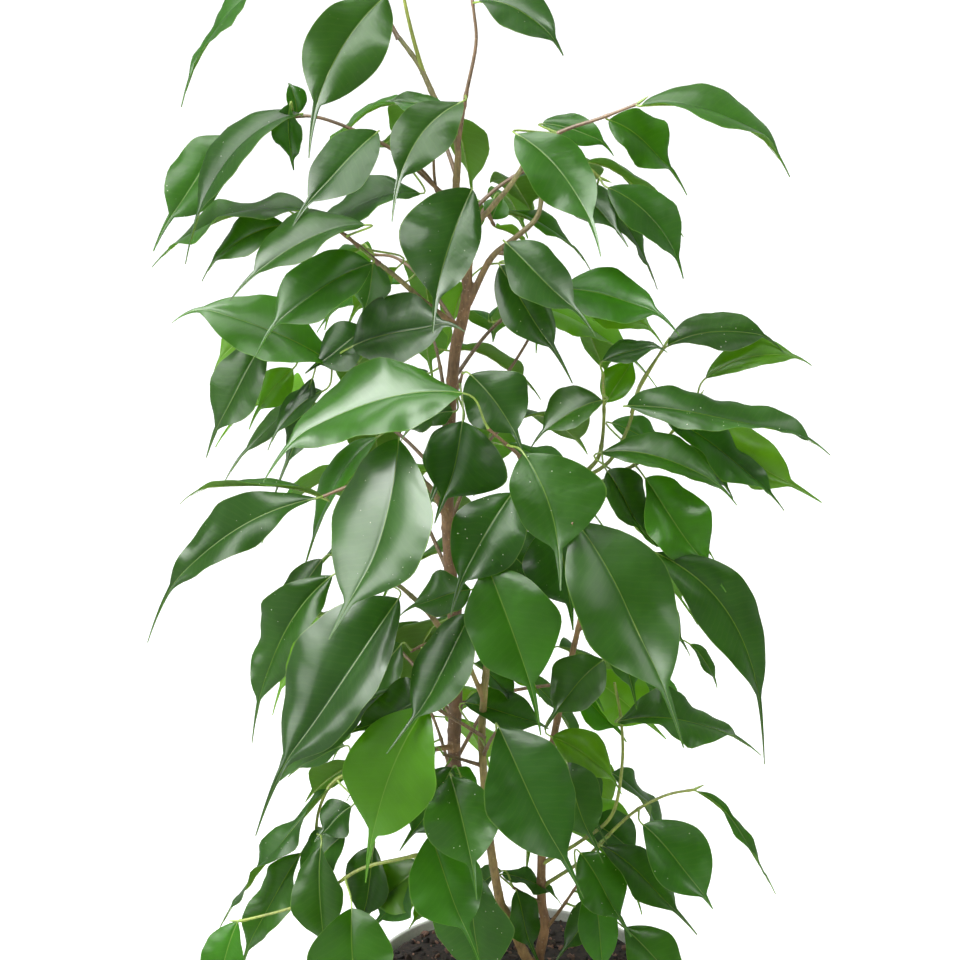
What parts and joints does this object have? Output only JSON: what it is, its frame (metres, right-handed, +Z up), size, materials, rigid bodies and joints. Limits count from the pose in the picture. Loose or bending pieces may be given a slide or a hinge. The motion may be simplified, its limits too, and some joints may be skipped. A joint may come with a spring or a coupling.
{
  "type": "weeping fig",
  "caption": "Young weeping fig in a round tapered pot: upright woody stems that branch, and leafy sprays of glossy, pointed green leaves on all sides.",
  "frame": {"origin": "centre of the pot's flat base, on the surface it stands on", "axes": "+Z up the pot's axis; -Y towards the side seen in the picture, with +X to the viewer's right"},
  "size_m": [0.3575, 0.2843, 0.7345],
  "materials": {
    "pale_plastic": "satin",
    "potting_soil": "matte, loose crumbs",
    "bark": "matte, smooth young bark",
    "fig_leaf": "glossy, leathery leaf"
  },
  "bodies": {
    "root": {"pot": "pale_plastic", "soil": "potting_soil", "stem_back": "bark", "stem_front": "bark", "spray_centre": "fig_leaf", "spray_centre_right": "fig_leaf", "spray_centre_top": "fig_leaf", "spray_far_01": "fig_leaf", "spray_far_02": "fig_leaf", "spray_far_03": "fig_leaf", "spray_far_04": "fig_leaf", "spray_far_05": "fig_leaf", "spray_far_06": "fig_leaf", "spray_far_07": "fig_leaf", "spray_far_08": "fig_leaf", "spray_far_09": "fig_leaf", "spray_far_10": "fig_leaf", "spray_far_11": "fig_leaf", "spray_far_12": "fig_leaf", "spray_far_13": "fig_leaf", "spray_far_14": "fig_leaf", "spray_far_15": "fig_leaf", "spray_fork": "fig_leaf", "spray_front_bright": "fig_leaf", "spray_front_centre": "fig_leaf", "spray_front_left": "fig_leaf", "spray_front_low": "fig_leaf", "spray_inner_front": "fig_leaf", "spray_inner_left": "fig_leaf", "spray_inner_right": "fig_leaf", "spray_leader": "fig_leaf", "spray_left_centre": "fig_leaf", "spray_left_high": "fig_leaf", "spray_left_large": "fig_leaf", "spray_left_lower": "fig_leaf", "spray_left_mid": "fig_leaf", "spray_low_centre": "fig_leaf", "spray_low_left": "fig_leaf", "spray_low_left_front": "fig_leaf", "spray_low_right": "fig_leaf", "spray_low_right_thin": "fig_leaf", "spray_near_soil": "fig_leaf", "spray_right_behind": "fig_leaf", "spray_right_front": "fig_leaf", "spray_right_high": "fig_leaf", "spray_right_low": "fig_leaf", "spray_right_mid": "fig_leaf", "spray_right_outer": "fig_leaf", "spray_right_stem": "fig_leaf", "spray_right_thin": "fig_leaf", "spray_right_tip": "fig_leaf", "spray_top": "fig_leaf", "spray_top_left": "fig_leaf", "spray_top_right": "fig_leaf", "spray_trunk_high": "fig_leaf", "spray_upper_left": "fig_leaf", "spray_upper_right": "fig_leaf"}
  },
  "joints": []
}
